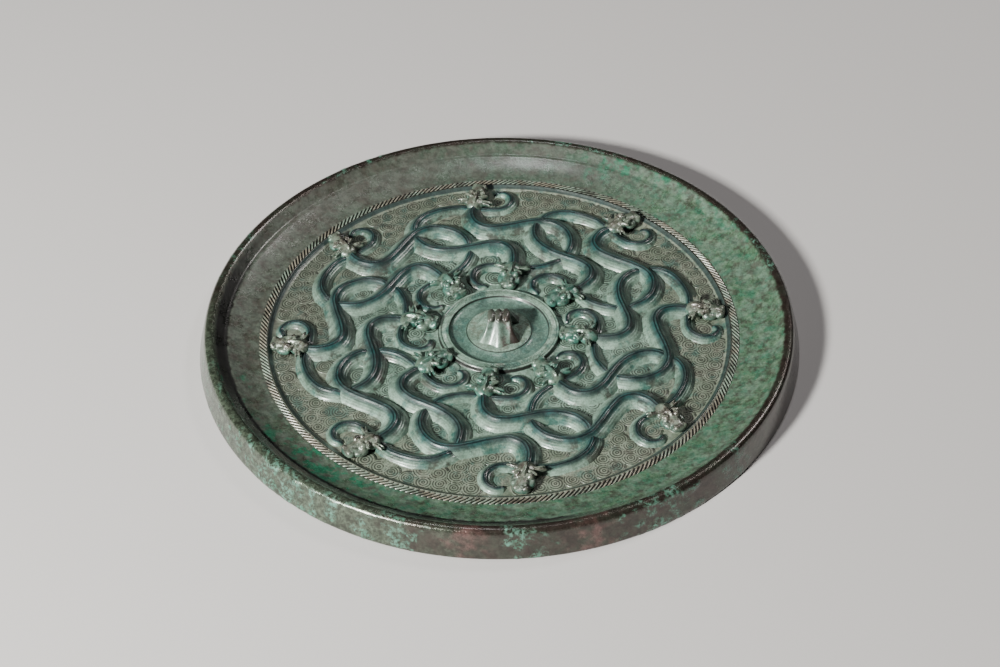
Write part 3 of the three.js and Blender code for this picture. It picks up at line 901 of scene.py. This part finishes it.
hand = random.Random(7)
places, depths = [], []
row_radius = FIELD_INNER + 3.0
row_number = 0
while row_radius < FIELD_OUTER - 2.0:
    count = int(2 * math.pi * row_radius / WHORL_PITCH)
    for number in range(count):
        angle = 2 * math.pi * (number + 0.5 * (row_number % 2)) / count + hand.uniform(-0.5, 0.5) / row_radius
        away = row_radius + hand.uniform(-0.4, 0.4)
        x, y = away * math.cos(angle), away * math.sin(angle)
        size = hand.uniform(0.9, 1.12)
        tilt = hand.uniform(0, 2 * math.pi)
        gap = np.min(np.hypot(*(crest_points - (x, y)).T))
        if gap > CREST_CLEARANCE:
            def place(corners, x=x, y=y, size=size, tilt=tilt):
                return turn(corners, tilt) * (size, size, 1) + np.array([x, y, FIELD_BED])
            places.append(place)
            depths.append(min(1, 0.35 + (gap - CREST_CLEARANCE) / 2.2))
    row_radius += WHORL_ROW
    row_number += 1

corners, faces, marks = whorl_form()
ground = stamp("whorled_ground", corners, faces, places)
paint(ground, "groove", np.outer(depths, marks["groove"]).ravel())
ground.data.materials.append(field_verdigris)
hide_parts("mirror")
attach(ground, "root")


# ---- The knob -------------------------------------------------------------------------------------
# A bridge for the cord, arched along Y with fluted ends and three small lumps along its crown. The
# tunnel under it was left by a clay core. Cast with the plate, and worn bright by the cord.
KNOB_LENGTH, KNOB_HEIGHT = 17.4, 7.4
KNOB_FOOT_WIDTH, KNOB_TOP_WIDTH = 13.0, 6.8
FOOT_ROUNDING = 0.32                 # how far the corners of the feet draw back, as a share
FLUTE_DEPTH = 1.0
TUNNEL_WIDTH, TUNNEL_HEIGHT = 6.0, 5.0
KNOB_VOXEL = 0.18
LUMP_SPACING, LUMP_HALF = 2.35, (1.35, 2.9, 1.3)

bpy.ops.object.select_all(action="DESELECT")
bpy.ops.mesh.primitive_cube_add(size=2 * MM)
bridge = bpy.context.object
bpy.ops.object.mode_set(mode="EDIT")
bpy.ops.mesh.select_all(action="SELECT")
bpy.ops.mesh.subdivide(number_cuts=39)
bpy.ops.object.mode_set(mode="OBJECT")
shaped = []
for across, ahead, up in corners_of(bridge):
    rise_here = 1 - abs(ahead) ** (4 / 3)
    height = KNOB_HEIGHT * rise_here * (up + 1) / 2
    low = min(1.0, 1 - height / KNOB_HEIGHT)
    half_width = KNOB_TOP_WIDTH / 2 + (KNOB_FOOT_WIDTH - KNOB_TOP_WIDTH) / 2 * low ** 1.8
    flute = FLUTE_DEPTH * math.sin(math.pi * abs(across)) ** 2 * (1 - rise_here ** 2)
    length = ahead * KNOB_LENGTH / 2 * (1 - FOOT_ROUNDING * across ** 2 * low)
    if up < -0.999:
        height = -ROOT_DEPTH
    shaped.append((across * half_width, length - math.copysign(flute, length), DISC_LEVEL + height))
move_corners(bridge, shaped)

lump_level = DISC_LEVEL + KNOB_HEIGHT - LUMP_HALF[2]
lumps = [rounded_form((aside, 0, lump_level), LUMP_HALF, 0) for aside in (-LUMP_SPACING, 0, LUMP_SPACING)]
knob = fuse("knob", [bridge] + lumps, KNOB_VOXEL, 1)
bpy.ops.mesh.primitive_cylinder_add(vertices=48, radius=TUNNEL_WIDTH / 2 * MM, depth=30 * MM,
                                    rotation=(0, math.pi / 2, 0))
cutter = bpy.context.object
cutter.location = (0, 0, (DISC_LEVEL + TUNNEL_HEIGHT - TUNNEL_WIDTH / 2) * MM)
bpy.ops.object.transform_apply(location=True, rotation=True, scale=True)
low_edge = corners_of(cutter)
low_edge[:, 2] = np.where(low_edge[:, 2] < DISC_LEVEL + 1.9, DISC_LEVEL - 2, low_edge[:, 2])
move_corners(cutter, low_edge)
select_only(knob)
hollow = knob.modifiers.new("tunnel", "BOOLEAN")
hollow.operation = "DIFFERENCE"
hollow.object = cutter
bpy.ops.object.modifier_apply(modifier="tunnel")
bpy.data.objects.remove(cutter)
select_only(knob)
bpy.ops.object.shade_smooth()

knob_verdigris, tree, shader = new_material("knob_verdigris")
parts = node(tree, "SeparateXYZ", {"Vector": node(tree, "TexCoord").outputs["Object"]})
SMOOTH_GREEN, PLUM, SHADED_SIDE_BROWN = (0.16, 0.25, 0.20, 1), (0.11, 0.065, 0.065, 1), (0.03, 0.018, 0.015, 1)
colour = grow(tree, SMOOTH_GREEN, MINT, 6.0, 0.5, 0.1, 0.7)
plum = use(tree, patches, Size=3.0, Threshold=0.5, Softness=0.07)["Mask"]
plum = arithmetic(tree, "MULTIPLY", plum, smooth_step(tree, parts.outputs["X"], -0.5 * MM, 1.5 * MM))
colour = blend(tree, arithmetic(tree, "MULTIPLY", plum, 0.8), colour, PLUM)
# The right side of the bridge, with its tunnel mouth, is painted near black-brown: partly the brown of the
# metal, partly painted shade away from the key light and inside the tunnel.
brown_and_shaded_side = smooth_step(tree, parts.outputs["X"], 2.9 * MM, 3.6 * MM, 0, 0.92)
colour = blend(tree, brown_and_shaded_side, colour, SHADED_SIDE_BROWN)
colour = blend(tree, smooth_step(tree, parts.outputs["Z"], 7.8 * MM, 9.4 * MM, 0, 0.8), colour, UMBER)
colour = grow(tree, colour, DARK, 2.0, 0.6, 0.05, 0.6)
roughness = smooth_step(tree, use(tree, patches, Size=4.0)["Mask"], 0, 1, 0.3, 0.5)
finish_bronze(tree, shader, colour, roughness, 0.2, 0.5, 0.35)
knob.data.materials.append(knob_verdigris)
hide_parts("mirror")
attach(knob, "root")
